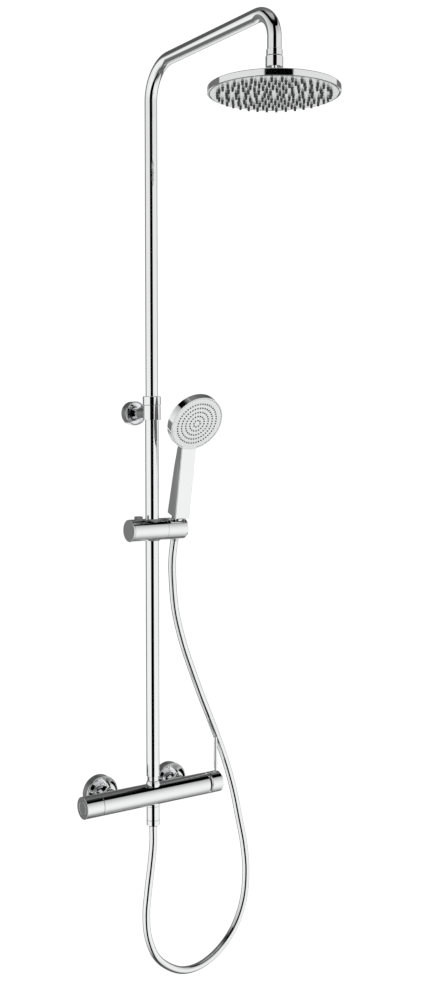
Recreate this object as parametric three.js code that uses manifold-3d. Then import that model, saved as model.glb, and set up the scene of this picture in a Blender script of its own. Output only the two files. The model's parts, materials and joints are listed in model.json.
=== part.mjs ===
// Rainfall shower column: a wall-mounted mixer bar, a telescopic riser that bends over into an arm with an
// overhead shower, and a sliding holder that carries a hand shower on a hose.
// Millimetres. +X runs along the mixer bar, +Y into the wall and +Z up. The finished wall is the plane
// Y = 0, and the origin lies on it, level with the bar's axis and midway between the two water inlets.
import * as THREE from "three";
import { mergeVertices } from "three/addons/utils/BufferGeometryUtils.js";
import Module from "manifold-3d";

const wasm = await Module();
wasm.setup();

const SIDES = 16; // of a small round piece
const FINE = 24; // of a large one

// Driving dimensions
const GAP = 0.3; // left between pieces that touch
const AXIS_Y = -71; // the bar's and the riser's axis, out from the wall
const INLET_X = 75; // each inlet, from the middle of the bar

const BAR_R = 20;
const BAR_END = 146; // half of the bar's length over the knob and the lever cap
const KNOB_SEAM = -112; // where the diverter knob begins
const BODY_END = 115.8; // the body's right-hand end
const CAP_START = 120.2; // the lever cap's edge, across the groove from the body
const PIN_X = 139.4;
const PIN_R = 3.2;
const PIN_TOP = 86;

const LOWER_R = 12; // lower riser tube
const LOWER_BORE = 11.3;
const LOWER_FOOT = 34.3;
const LOWER_TOP = 699.6;
const UPPER_R = 11; // upper riser tube, which becomes the arm
const UPPER_BORE = 9.8;
const UPPER_FOOT = 520;
const ARM_Z = 1301.4; // arm's centreline above the riser
const ARM_RISE = THREE.MathUtils.degToRad(0.9);
const ARM_REACH = 355; // riser to the overhead shower
const ARM_BEND = 62;
const ELBOW_BEND = 44;
const DROP_FOOT = 1236; // lower end of the tube above the overhead shower

const BRACKET_Z = 694;
const SLEEVE_R = 15.7;
const SLEEVE_FOOT = 682;
const SLEEVE_TOP = 708;
const CLAMP_TOP = 724;
const CLAMP_R = 16.2;
const STUB_R = 11;
const ROSETTE_FRONT = -17.7;

const HEAD_R = 102;
const HEAD_FACE = 1177.6; // underside of the overhead shower's face
const HEAD_TOP = 1188.4;
const BALL_Z = 1203;
const BALL_R = 9;
// Radius, how many, and the turn as a part of one step
const NOZZLE_RINGS = [[14.5, 6, 0.5], [29.5, 12, 0], [44, 18, 0.5], [58.5, 24, 0], [73, 30, 0.5], [87, 36, 0]];
const NOZZLE_LONG = 5.6;

const SLIDER_Z = 485;
const SLIDER_R = 20;
const SLIDER_LEFT = -49;
const HOLDER_START = 24; // where the tilting holder begins
const HOLDER_END = 67.5;
const BUTTON_X = -28.6;

const HANDSET_X = 51;
const HANDSET_LEAN = THREE.MathUtils.degToRad(13.3);
const FACE_LEAN = THREE.MathUtils.degToRad(15.5); // the spray face's further lean, past the handle's
const FACE_R = 52;
const FACE_Y = -23.8; // centre of the spray face, in the handset's own frame
const FACE_Z = 201;
const FACE_DEEP = 19;

const HOSE_R = 7;
const HOSE_BORE = 4;
const HOSE_SECTION = 8;
const HOSE_STEPS = 38;
const NUT_FOOT = -22; // lower end of the hose's cone nut, in the handset's own frame
const OUTLET_FOOT = -58.3;

// Hose centreline, from under the cone nut, clear of it as the holder swivels, to the outlet under the bar
const HOSE_ROUTE = [
  [51, -64.9, 459.9], [51, -62.2, 448.7], [51.6, -58, 431], [54.4, -52.5, 410], [59.6, -46, 385],
  [65.4, -40, 358], [72, -35, 331], [82, -30, 300], [97.4, -27, 255], [116.8, -26, 206], [137.6, -26, 155],
  [156.6, -26, 112], [175.6, -27, 66], [194, -29, 16], [209, -32, -38], [219, -36, -92],
  [227.2, -42, -148], [228, -48, -200], [217, -54, -255], [190, -59, -303], [149.5, -63, -336.4],
  [107, -66, -351.8], [70, -68, -350.8], [37, -70, -335.8], [6.4, -71, -307.6], [-11.2, -71, -266],
  [-15.5, -71, -225], [-11.2, -71, -180], [-4.4, -71, -132], [0, -71, -92], [0, -71, OUTLET_FOOT],
];

// Materials
const metal = (color, roughness) => new THREE.MeshStandardMaterial({ color, roughness, metalness: 1 });
const plain = (color, roughness) => new THREE.MeshStandardMaterial({ color, roughness, metalness: 0 });
const CHROME = metal(0xe4e6e8, 0.06);
const SATIN = metal(0xc9ccce, 0.3);
const BRASS = metal(0xb5974f, 0.35);
const STEEL = metal(0xaeb1b3, 0.35);
const SILICONE = plain(0x4b4d50, 0.55);
const RUBBER = plain(0x1d1e20, 0.7);
const GREY_PLASTIC = plain(0x77797c, 0.4);
const WHITE_PLASTIC = plain(0xdcdddb, 0.45);
const CERAMIC = plain(0xc8c6bf, 0.4);

// Shapes
function signedVolume(geometry) {
  const point = geometry.attributes.position;
  const index = geometry.index.array;
  const [a, b, c] = [new THREE.Vector3(), new THREE.Vector3(), new THREE.Vector3()];
  let sum = 0;
  for (let i = 0; i < index.length; i += 3) {
    a.fromBufferAttribute(point, index[i]);
    b.fromBufferAttribute(point, index[i + 1]);
    c.fromBufferAttribute(point, index[i + 2]);
    sum += a.dot(b.cross(c));
  }
  return sum / 6;
}

// One closed surface with shared corners and its faces pointing out
function closed(geometry) {
  geometry.deleteAttribute("normal");
  geometry.deleteAttribute("uv");
  const merged = mergeVertices(geometry, 1e-4);
  const index = merged.index.array;
  const kept = [];
  for (let i = 0; i < index.length; i += 3) {
    const [a, b, c] = index.slice(i, i + 3);
    if (a !== b && b !== c && c !== a) kept.push(a, b, c);
  }
  merged.setIndex(kept);
  if (signedVolume(merged) < 0) {
    for (let i = 0; i < kept.length; i += 3) [kept[i], kept[i + 1]] = [kept[i + 1], kept[i]];
    merged.setIndex(kept);
  }
  return merged;
}

function toSolid(geometry) {
  const vertProperties = new Float32Array(geometry.attributes.position.array);
  const triVerts = new Uint32Array(geometry.index.array);
  return new wasm.Manifold(new wasm.Mesh({ numProp: 3, vertProperties, triVerts }));
}

function toGeometry(solid) {
  const { vertProperties, triVerts } = solid.getMesh();
  const geometry = new THREE.BufferGeometry();
  geometry.setAttribute("position", new THREE.BufferAttribute(vertProperties, 3));
  geometry.setIndex(Array.from(triVerts));
  return geometry;
}

function join(first, ...others) {
  return toGeometry(others.reduce((whole, part) => whole.add(toSolid(part)), toSolid(first)));
}

function cut(first, ...tools) {
  return toGeometry(tools.reduce((whole, tool) => whole.subtract(toSolid(tool)), toSolid(first)));
}

// A solid of revolution about Z, from a profile of [radius, z] that starts and ends on the axis
function turned(profile, sides = SIDES) {
  const points = profile.map(([r, z]) => new THREE.Vector2(r, z));
  return closed(new THREE.LatheGeometry(points, sides).rotateX(Math.PI / 2));
}

// The same, from a profile that closes on itself and stays off the axis
const hollow = (profile, sides = SIDES) => turned([...profile, profile[0]], sides);
const rod = (r, from, to, sides = SIDES) => turned([[0, from], [r, from], [r, to], [0, to]], sides);
const ring = (inner, outer, from, to, sides = SIDES) =>
  hollow([[inner, from], [outer, from], [outer, to], [inner, to]], sides);
const alongX = (geometry) => geometry.rotateY(Math.PI / 2);
const alongY = (geometry) => geometry.rotateX(-Math.PI / 2);
const at = (geometry, x, y, z) => geometry.translate(x, y, z);
const block = (x, y, z) => closed(new THREE.BoxGeometry(x, y, z));

function circle(Kind, radius, sides) {
  const outline = new Kind();
  for (let i = 0; i < sides; i++) {
    const angle = (2 * Math.PI * i) / sides;
    const [x, y] = [radius * Math.cos(angle), radius * Math.sin(angle)];
    if (i === 0) outline.moveTo(x, y);
    else outline.lineTo(x, y);
  }
  outline.closePath();
  return outline;
}

// A path that passes through its stations and steps from one to the next, however far apart they are
class StationPath extends THREE.Curve {
  constructor(stations) {
    super();
    this.stations = stations;
  }
  getPointAt(u, target = new THREE.Vector3()) {
    return target.copy(this.stations[Math.round(u * (this.stations.length - 1))]);
  }
  getPoint(t, target) {
    return this.getPointAt(t, target);
  }
  getTangentAt(u, target = new THREE.Vector3()) {
    const last = this.stations.length - 1;
    const i = Math.round(u * last);
    const before = this.stations[Math.max(i - 1, 0)];
    const after = this.stations[Math.min(i + 1, last)];
    const here = this.stations[i];
    const arriving = here.clone().sub(before).normalize();
    const leaving = after.clone().sub(here).normalize();
    return target.copy(arriving.add(leaving)).normalize();
  }
}

function swept(stations, outer, sides, inner = 0) {
  const section = circle(THREE.Shape, outer, sides);
  if (inner) section.holes.push(circle(THREE.Path, inner, sides));
  const extrudePath = new StationPath(stations);
  return closed(new THREE.ExtrudeGeometry(section, { steps: stations.length - 1, extrudePath }));
}

const column = new THREE.Group();

function add(name, geometry, material, position = [0, 0, 0], parent = column) {
  const mesh = new THREE.Mesh(geometry, material);
  mesh.name = name;
  mesh.position.set(...position);
  parent.add(mesh);
}

// Mixer body: a bar with a chamber at each end, two inlets behind, a riser boss on top, an outlet below
function mixerBody() {
  const bar = alongX(turned([
    [0, KNOB_SEAM + GAP], [BAR_R, KNOB_SEAM + GAP], [BAR_R, BODY_END - 1], [BAR_R - 1, BODY_END],
    [0, BODY_END],
  ], FINE));
  const riserBoss = turned([[0, 0], [13, 0], [13, 19], [12.4, 21.5], [10.6, 25.6], [0, 25.6]]);
  const outletBoss = rod(12, -21, 0);
  const inletBoss = () => alongY(turned([[0, 0], [11, 0], [11, 31.1], [13.2, 31.7], [13.2, 34], [0, 34]]));
  const inletBore = () => alongY(turned([[0, 0], [5, 0], [5, 16], [7.3, 16], [7.3, 40], [0, 40]], 12));
  const whole = join(
    bar, riserBoss, outletBoss, at(inletBoss(), -INLET_X, 0, 0), at(inletBoss(), INLET_X, 0, 0),
  );
  return cut(
    whole,
    alongX(rod(15.3, -130, -87)),
    alongX(rod(15.3, 88, 130)),
    alongX(rod(5, -90, 90, 8)),
    rod(5, 0, 12, 8),
    rod(8.3, 11.7, 30),
    rod(9.3, -30, -12),
    rod(5, -13, 0, 8),
    at(inletBore(), -INLET_X, 0, 0),
    at(inletBore(), INLET_X, 0, 0),
  );
}

function addInlet(side, name) {
  const place = [side * INLET_X, 0, 0];
  const union = alongY(hollow([
    [7.5, -34.6], [13.2, -34.6], [13.2, -6], [15, -6], [15, -1], [10.3, -1], [10.3, 16], [7.5, 16],
  ]));
  add(`inlet_union_${name}`, union, CHROME, place);
  const nutOuter = alongY(rod(17.3, -44, -24, 6));
  const nutBore = alongY(turned([
    [0, -46], [11.5, -46], [11.5, -40.2], [13.7, -40.2], [13.7, -20], [0, -20],
  ]));
  add(`inlet_nut_${name}`, cut(nutOuter, nutBore), CHROME, place);
  add(`inlet_washer_${name}`, alongY(ring(7.5, 13, -36.7, -34.9)), RUBBER, place);
  const valve = alongY(hollow([[3.5, -54.5], [7, -54.5], [7, -40], [5.5, -40], [3.5, -43]], 12));
  add(`check_valve_${name}`, valve, WHITE_PLASTIC, place);
  const rosette = alongY(hollow([
    [32.4, -GAP], [32.4, ROSETTE_FRONT + 1], [31.4, ROSETTE_FRONT], [29.8, ROSETTE_FRONT], [16, -10],
    [15.6, -8], [30.8, -15.4], [30.8, -GAP],
  ], FINE));
  add(`inlet_rosette_${name}`, rosette, CHROME, place);
}

function addMixer() {
  add("mixer_body", mixerBody(), CHROME, [0, AXIS_Y, 0]);
  addInlet(-1, "left");
  addInlet(1, "right");
  const adapter = hollow([
    [5, 12.3], [8, 12.3], [8, 25.9], [10.4, 25.9], [10.4, 33.8], [10.8, 34.2], [10.8, 54], [5, 54],
  ]);
  add("riser_adapter", adapter, CHROME, [0, AXIS_Y, 0]);
  const nipple = hollow([
    [5, -12.3], [9, -12.3], [9, -21.3], [11.9, -21.3], [11.9, -47], [9.4, -47], [9.4, -53], [5, -53],
  ]);
  add("outlet_nipple", nipple, CHROME, [0, AXIS_Y, 0]);
}

// Left end: the knob that sends the water to the overhead shower or the hand shower
function addDiverter() {
  const place = [0, AXIS_Y, 0];
  const cartridge = alongX(hollow([
    [4.4, -87.4], [15, -87.4], [15, -111], [11, -111], [11, -126], [4.4, -126],
  ]));
  add("diverter_cartridge", cartridge, CERAMIC, place);
  add("diverter_spindle", alongX(rod(4, -137.6, -96, 12)), BRASS, place);
  const knob = alongX(turned([
    [0, -144], [12, -144], [12, -BAR_END], [19.6, -BAR_END], [BAR_R, -BAR_END + 0.4],
    [BAR_R, KNOB_SEAM - GAP], [15.6, KNOB_SEAM - GAP], [15.6, -138], [0, -138],
  ], FINE));
  add("diverter_knob", knob, CHROME, place);
  add("diverter_knob_cover", alongX(rod(11.7, -BAR_END + 0.1, -144.3)), CHROME, place);
}

// Right end: the cartridge that mixes hot and cold, and its cap with the pin lever
function addLever() {
  const place = [0, AXIS_Y, 0];
  const cartridge = alongX(hollow([[5.4, 88.4], [15, 88.4], [15, 112], [12, 112], [12, 117], [5.4, 117]]));
  add("mixing_cartridge", cartridge, CERAMIC, place);
  const stem = alongX(turned([[0, 96], [5, 96], [5, 124], [4, 126], [0, 126]], 12));
  add("mixing_stem", stem, BRASS, place);
  const cap = alongX(turned([
    [0, 134], [16, 134], [16, CAP_START], [18.6, CAP_START], [BAR_R, CAP_START + 1.4],
    [BAR_R, BAR_END - 2.5], [17.5, BAR_END], [0, BAR_END],
  ], FINE));
  const pinHole = at(rod(3.7, 8, 30, 12), PIN_X, 0, 0);
  const grubHole = at(rod(2.4, -30, -10, 12), 127, 0, 0);
  add("lever_cap", cut(cap, pinHole, grubHole), CHROME, place);
  const pin = turned([
    [0, 8.3], [2.6, 8.3], [2.6, 24], [PIN_R, 29], [PIN_R, PIN_TOP - 1], [PIN_R - 1, PIN_TOP], [0, PIN_TOP],
  ], 12);
  add("lever_pin", pin, CHROME, [PIN_X, AXIS_Y, 0]);
  add("lever_grub_screw", rod(2, -18.6, -15, 12), STEEL, [127, AXIS_Y, 0]);
}

// Centreline of the upper tube: up the wall, over into the arm, and down to the overhead shower
function tubeStations() {
  const bendSteps = 6;
  const stations = [new THREE.Vector3(0, 0, UPPER_FOOT)];
  const rise = Math.tan(ARM_RISE);
  const firstTurn = Math.PI / 2 - ARM_RISE;
  const startZ = ARM_Z - ARM_BEND * Math.tan(firstTurn / 2);
  for (let i = 0; i <= bendSteps; i++) {
    const turn = (firstTurn * i) / bendSteps;
    stations.push(new THREE.Vector3(
      0, -ARM_BEND * (1 - Math.cos(turn)), startZ + ARM_BEND * Math.sin(turn),
    ));
  }
  const secondTurn = Math.PI / 2 + ARM_RISE;
  const endZ = ARM_Z + ARM_REACH * rise - ELBOW_BEND * Math.tan(secondTurn / 2);
  for (let i = 0; i <= bendSteps; i++) {
    const turn = secondTurn * (1 - i / bendSteps);
    stations.push(new THREE.Vector3(
      0, -ARM_REACH + ELBOW_BEND * (1 - Math.cos(turn)), endZ + ELBOW_BEND * Math.sin(turn),
    ));
  }
  stations.push(new THREE.Vector3(0, -ARM_REACH, DROP_FOOT));
  return stations;
}

function addRiser() {
  const place = [0, AXIS_Y, 0];
  add("lower_tube", ring(LOWER_BORE, LOWER_R, LOWER_FOOT, LOWER_TOP, FINE), CHROME, place);
  add("upper_tube", swept(tubeStations(), UPPER_R, 12, UPPER_BORE), CHROME, place);
  const bush = hollow([
    [6, 504], [11, 504], [11, 510.4], [9.4, 510.4], [9.4, 513], [11, 513], [11, 519.7], [9.4, 519.7],
    [9.4, 534], [6, 534],
  ]);
  add("telescope_bush", bush, WHITE_PLASTIC, place);
  add("telescope_o_ring", ring(9.6, 11.1, 510.7, 512.7), RUBBER, place);
}

// Wall bracket: a screwed base under a rosette, and a sleeve that clamps the two tubes together
function addBracket() {
  const sleeve = rod(SLEEVE_R, SLEEVE_FOOT, SLEEVE_TOP, FINE);
  const stub = at(alongY(rod(STUB_R, 8, 56)), 0, 0, BRACKET_Z);
  const tubeBore = rod(LOWER_R + 0.4, SLEEVE_FOOT - 5, SLEEVE_TOP + 5);
  const colletBore = rod(13.5, LOWER_TOP, SLEEVE_TOP + 5);
  const stubBore = at(alongY(rod(8.4, 35, 70)), 0, 0, BRACKET_Z);
  const grubHole = at(rod(2.4, -15, -5, 8), 0, 49, BRACKET_Z);
  const bracket = cut(join(sleeve, stub), tubeBore, colletBore, stubBore, grubHole);
  add("bracket_sleeve", bracket, CHROME, [0, AXIS_Y, 0]);
  const clampNut = hollow([
    [13.5, SLEEVE_TOP + 0.6], [CLAMP_R, SLEEVE_TOP + 0.6], [CLAMP_R, CLAMP_TOP - 0.8],
    [CLAMP_R - 0.8, CLAMP_TOP], [11.6, CLAMP_TOP], [11.6, 720.6], [13.5, 720.6],
  ], FINE);
  add("clamp_nut", clampNut, CHROME, [0, AXIS_Y, 0]);
  const collet = hollow([[11.4, 700], [13, 700], [13, 716], [12.2, 720], [11.4, 720]]);
  add("clamp_collet", collet, WHITE_PLASTIC, [0, AXIS_Y, 0]);
  const place = [0, 0, BRACKET_Z];
  const base = alongY(hollow([
    [3.4, 0], [17, 0], [17, -4], [8, -4], [8, -30], [5, -30], [5, -4], [3.4, -4],
  ]));
  add("bracket_base", base, STEEL, place);
  const rosette = alongY(hollow([
    [21.8, -GAP], [21.8, ROSETTE_FRONT + 0.7], [20.8, ROSETTE_FRONT], [19.4, ROSETTE_FRONT], [11.6, -13],
    [11.6, -11.5], [20.4, -16], [20.4, -GAP],
  ], FINE));
  add("bracket_rosette", rosette, CHROME, place);
  const screw = alongY(turned([[0, -7.5], [4.6, -7.5], [4.6, -4.3], [1.7, -4.3], [1.7, 22], [0, 24]], 12));
  add("bracket_screw", screw, STEEL, place);
  add("wall_plug", alongY(ring(2.1, 3.1, GAP, 25, 8)), GREY_PLASTIC, place);
  add("bracket_grub_screw", rod(2, -10.9, -8.6, 8), STEEL, [0, AXIS_Y + 49, BRACKET_Z]);
}

// Points on a sphere round the ball's centre, for turned profiles; angles are from straight up
function arc(radius, from, to, steps) {
  const points = [];
  for (let i = 0; i <= steps; i++) {
    const angle = THREE.MathUtils.degToRad(from + ((to - from) * i) / steps);
    points.push([radius * Math.sin(angle), BALL_Z + radius * Math.cos(angle)]);
  }
  return points;
}

function nozzlePlaces() {
  const places = [];
  for (const [radius, count, turn] of NOZZLE_RINGS) {
    for (let i = 0; i < count; i++) {
      const angle = (2 * Math.PI * (i + turn)) / count;
      places.push([radius * Math.cos(angle), radius * Math.sin(angle)]);
    }
  }
  return places;
}

function addOverheadShower() {
  const place = [0, AXIS_Y - ARM_REACH, 0];
  add("arm_collar", ring(UPPER_R + 0.4, 12.4, 1234.4, 1243.6), CHROME, place);
  const stud = join(
    rod(4.5, BALL_Z, 1218, 12),
    turned(arc(BALL_R, 180, 0, 8)),
    rod(13.5, 1217, 1233.6, 12),
    rod(9.4, 1230, 1246, 12),
  );
  add("ball_stud", cut(stud, rod(3, 1180, 1260, 8)), CHROME, place);
  add("ball_seat_upper", hollow([...arc(9.3, 52, 78, 2), ...arc(10.3, 78, 52, 2)]), WHITE_PLASTIC, place);
  const lowerSeat = hollow([...arc(9.3, 102, 140, 2), ...arc(10.3, 140, 102, 2)]);
  add("ball_seat_lower", lowerSeat, WHITE_PLASTIC, place);
  const nut = hollow([...arc(10.8, 48, 88, 3), [14.5, 1203.3], [14.5, 1209], [12.5, 1211], [9.4, 1211.5]]);
  add("ball_nut", nut, CHROME, place);
  const shell = hollow([
    [5, 1186.6], [99.6, 1186.6], [99.6, 1180.6], [100.4, HEAD_FACE], [HEAD_R, HEAD_FACE + 1],
    [HEAD_R, 1187.4], [HEAD_R - 1, HEAD_TOP], [22, HEAD_TOP + 1], [14.5, 1193], [14.5, 1202.7],
    ...arc(10.8, 92, 150, 3),
  ], FINE);
  add("head_shell", shell, CHROME, place);
  add("head_face_plate", ring(92.4, 98.4, HEAD_FACE + 0.2, 1180, FINE), SATIN, place);
  const tip = HEAD_FACE - NOZZLE_LONG;
  const nozzles = nozzlePlaces().map(([x, y]) =>
    at(turned([[0, tip], [1.4, tip], [2.1, 1180], [0, 1180]], 4), x, y, 0));
  add("head_nozzle_mat", join(rod(92, HEAD_FACE + 1, 1181.9, FINE), ...nozzles), SILICONE, place);
}

// Slider on the riser, with its release button
function addSlider() {
  const place = [0, AXIS_Y, SLIDER_Z];
  const bush = hollow([[12.4, -19.5], [14, -19.5], [14, 19.5], [12.4, 19.5]]);
  add("slider_bush", bush, GREY_PLASTIC, place);
  const barrel = alongX(rod(SLIDER_R, SLIDER_LEFT + 3, 23, FINE));
  const pocket = at(block(13.4, 11.8, 40), BUTTON_X, 0, 7.7);
  const screwPath = alongX(turned([[0, 10], [6.4, 10], [6.4, 19], [3.4, 19], [3.4, 30], [0, 30]], 12));
  add("slider_body", cut(barrel, rod(14.5, -30, 30), pocket, screwPath), CHROME, place);
  const capRing = [[0, SLIDER_LEFT], [SLIDER_R - 0.6, SLIDER_LEFT], [SLIDER_R, SLIDER_LEFT + 0.6]];
  const endCap = alongX(turned([...capRing, [SLIDER_R, SLIDER_LEFT + 2.7], [0, SLIDER_LEFT + 2.7]], FINE));
  add("slider_end_cap", endCap, CHROME, place);
  const button = at(block(12.6, 11, 21), BUTTON_X, 0, 14.5);
  add("release_button", cut(button, at(rod(4.4, -5, 8, 8), BUTTON_X, 0, 0)), GREY_PLASTIC, place);
  const turns = 4;
  const coil = [];
  const stepsPerTurn = 8;
  for (let i = 0; i <= turns * stepsPerTurn; i++) {
    const angle = (2 * Math.PI * i) / stepsPerTurn;
    const height = -11.2 + (18.2 * i) / (turns * stepsPerTurn);
    coil.push(new THREE.Vector3(3.2 * Math.cos(angle), 3.2 * Math.sin(angle), height));
  }
  add("button_spring", swept(coil, 0.6, 4), STEEL, [BUTTON_X, AXIS_Y, SLIDER_Z]);
  const screw = alongX(turned([[0, 15], [6, 15], [6, 18.6], [3, 18.6], [3, 34], [0, 34]], 12));
  add("holder_pivot_screw", screw, STEEL, place);
  add("holder_friction_washer", alongX(ring(3.4, 15, 23.2, 23.8)), GREY_PLASTIC, place);
}

// Tilting holder: a round head with a cone seat along the handset, open behind so that the hose slips in
function addHolder() {
  const place = [0, AXIS_Y, SLIDER_Z];
  const leaned = (geometry) => at(geometry.rotateX(HANDSET_LEAN), HANDSET_X, 0, 0);
  const head = alongX(turned([
    [0, HOLDER_START], [SLIDER_R, HOLDER_START], [SLIDER_R, HOLDER_END - 4], [18.7, HOLDER_END - 1.2],
    [15.7, HOLDER_END], [0, HOLDER_END],
  ], FINE));
  const seat = leaned(turned([
    [0, -40], [10.9, -40], [10.9, -20], [13.2, 16], [14.4, 22], [14.4, 40], [0, 40],
  ]));
  const hoseSlot = leaned(at(block(15.6, 40, 90), 0, 20, 0));
  const screwHole = alongX(rod(3.4, HOLDER_START - 5, 36, 12));
  add("holder_head", cut(head, seat, hoseSlot, screwHole), CHROME, place);
  const lining = turned([[0, -17], [10.6, -17], [12.8, 16.5], [0, 16.5]]);
  const liningBore = turned([[0, -30], [8.9, -30], [9.2, -17.5], [11.3, 17], [11.3, 30], [0, 30]]);
  const liner = cut(lining, liningBore, at(block(15.6, 40, 90), 0, 20, 0));
  add("holder_liner", leaned(liner), GREY_PLASTIC, place);
}

// Hand shower: a flat handle that runs into a round head; the handset's frame has +Z up the handle
function addHandset() {
  const handset = new THREE.Group();
  handset.position.set(HANDSET_X, AXIS_Y, SLIDER_Z);
  handset.rotation.x = HANDSET_LEAN;
  column.add(handset);
  const faced = (geometry) =>
    at(geometry.rotateX(Math.PI / 2 + FACE_LEAN), 0, FACE_Y, FACE_Z);
  const side = new THREE.Shape();
  const outline = [
    [-16.6, 22.8], [-9, 150], [-16, 175], [-6, 172], [5, 159], [7, 150], [9.8, 114], [12, 32], [12, 26.8],
  ];
  outline.forEach(([y, z], i) => (i ? side.lineTo(y, z) : side.moveTo(y, z)));
  side.closePath();
  const handle = closed(
    new THREE.ExtrudeGeometry(side, { depth: 30, bevelEnabled: false })
      .rotateY(Math.PI / 2).rotateX(Math.PI / 2).translate(-15, 0, 0),
  );
  const disc = faced(turned([
    [0, -FACE_DEEP], [32, -FACE_DEEP], [50.2, -16.2], [FACE_R, -14.6], [FACE_R, -0.8], [FACE_R - 0.8, 0],
    [0, 0],
  ], FINE));
  const neck = turned([[0, 20.6], [10, 20.6], [10, 38], [4, 62], [0, 62]]);
  const cavity = faced(rod(49.6, -13, 5, FINE));
  const waterway = at(rod(3, 30, 165, 8), 0, -5, 0);
  const nippleSocket = rod(8.4, 10, 36);
  const body = cut(join(handle, disc, neck), cavity, waterway, nippleSocket);
  add("handset_body", body, CHROME, [0, 0, 0], handset);
  add("handset_nipple", ring(5, 8.1, 3, 35), BRASS, [0, 0, 0], handset);
  add("handset_nozzle_mat", faced(rod(49.2, -6, -4, FINE)), SILICONE, [0, 0, 0], handset);
  add("handset_face_plate", faced(turned([[0, -3.6], [49.3, -3.6], [49.3, -0.4], [0, -0.4]], FINE)), SATIN,
    [0, 0, 0], handset);
  const coneNut = hollow([
    [5.2, NUT_FOOT], [7.4, NUT_FOOT], [8.3, -19], [10.7, 18], [10.7, 20.2], [8.5, 20.2], [8.5, 0], [5.2, 0],
  ]);
  add("hose_cone_nut", coneNut, CHROME, [0, 0, 0], handset);
}

function addHose() {
  const curve = new THREE.CatmullRomCurve3(HOSE_ROUTE.map((point) => new THREE.Vector3(...point)));
  add("hose", swept(curve.getSpacedPoints(HOSE_STEPS), HOSE_R, HOSE_SECTION, HOSE_BORE), CHROME);
  const nut = hollow([
    [5.2, -58], [10.5, -58], [12, -56.5], [12, -47.3], [9.8, -47.3], [9.8, -55.3], [5.2, -55.3],
  ]);
  add("hose_foot_nut", nut, CHROME, [0, AXIS_Y, 0]);
  add("hose_washer_lower", ring(5.2, 9.5, -55, -53.3, 16), RUBBER, [0, AXIS_Y, 0]);
}

addMixer();
addDiverter();
addLever();
addRiser();
addBracket();
addOverheadShower();
addSlider();
addHolder();
addHandset();
addHose();

export default column;
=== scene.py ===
"""Looks of a wall-mounted rainfall shower column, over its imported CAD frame.

Metres, +X along the mixer bar, +Y into the wall and +Z up. The wall's surface is at Y = 0."""
import json
import math

import bmesh
import bpy
from mathutils import Matrix, Vector

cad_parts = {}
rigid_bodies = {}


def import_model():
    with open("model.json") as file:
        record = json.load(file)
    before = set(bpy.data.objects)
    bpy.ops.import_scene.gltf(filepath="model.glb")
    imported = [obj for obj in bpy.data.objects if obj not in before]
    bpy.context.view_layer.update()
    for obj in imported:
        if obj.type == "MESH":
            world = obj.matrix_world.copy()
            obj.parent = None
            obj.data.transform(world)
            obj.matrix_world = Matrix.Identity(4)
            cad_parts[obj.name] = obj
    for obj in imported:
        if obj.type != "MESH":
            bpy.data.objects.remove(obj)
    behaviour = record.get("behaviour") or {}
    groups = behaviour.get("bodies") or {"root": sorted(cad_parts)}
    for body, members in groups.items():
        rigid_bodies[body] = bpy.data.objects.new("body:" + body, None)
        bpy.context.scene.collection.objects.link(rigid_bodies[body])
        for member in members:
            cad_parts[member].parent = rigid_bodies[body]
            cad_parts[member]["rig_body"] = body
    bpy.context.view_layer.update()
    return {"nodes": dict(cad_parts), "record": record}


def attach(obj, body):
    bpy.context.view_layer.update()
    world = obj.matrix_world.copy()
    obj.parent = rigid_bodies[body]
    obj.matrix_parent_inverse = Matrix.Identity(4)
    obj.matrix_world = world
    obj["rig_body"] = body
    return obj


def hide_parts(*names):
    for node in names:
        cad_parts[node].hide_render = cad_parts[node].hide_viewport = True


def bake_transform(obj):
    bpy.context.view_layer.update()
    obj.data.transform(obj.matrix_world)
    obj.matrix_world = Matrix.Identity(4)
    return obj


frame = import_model()

# Dimensions, as in the frame
GAP = 0.0003
AXIS_Y = -0.071
INLET_X = 0.075
BAR_R = 0.02
BORE_R = 0.0153
KNOB_SEAM = -0.112
BODY_END = 0.1158
CAP_START = 0.1202
BAR_END = 0.146
PIN_X = 0.1394
GRUB_X = 0.127
PIN_HOLE_R = 0.0037
GRUB_HOLE_R = 0.0024
INLET_NUT_R = 0.0173
INLET_NUT_BORE = 0.0137
INLET_NUT_BACK = -0.024
INLET_NUT_FRONT = -0.044

UPPER_R = 0.011
UPPER_FOOT = 0.52
ARM_Z = 1.3014
ARM_RISE = math.radians(0.9)
ARM_REACH = 0.355
ARM_BEND = 0.062
ELBOW_BEND = 0.044
DROP_FOOT = 1.236

BRACKET_Z = 0.694
SLEEVE_R = 0.0157
SLEEVE_BORE = 0.0124
SLEEVE_FOOT = 0.682
SLEEVE_TOP = 0.708
COLLET_R = 0.0135
COLLET_FOOT = 0.6996
STUB_R = 0.011
STUB_START = 0.0112
STUB_END = 0.056
STUB_BORE = 0.0084
STUB_BORE_START = 0.035
BRACKET_GRUB_Y = AXIS_Y + 0.049

HEAD_FACE = 1.1776
FACE_PLATE_R = 0.0984
FACE_PLATE_BACK = 1.18
BALL_Z = 1.203
BALL_R = 0.009
STEM_R = 0.0045
STEM_FOOT = 1.2125
WATERWAY_R = 0.003
SHOULDER_R = 0.0135
SHOULDER_FOOT = 1.217
SHOULDER_TOP = 1.2336
SPIGOT_R = 0.0094
SPIGOT_TOP = 1.246
NOZZLE_RINGS = [  # radius, how many, and the turn as a part of one step
    (0.0145, 6, 0.5), (0.0295, 12, 0), (0.044, 18, 0.5),
    (0.0585, 24, 0), (0.073, 30, 0.5), (0.087, 36, 0),
]
NOZZLE_LONG = 0.0056

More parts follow.
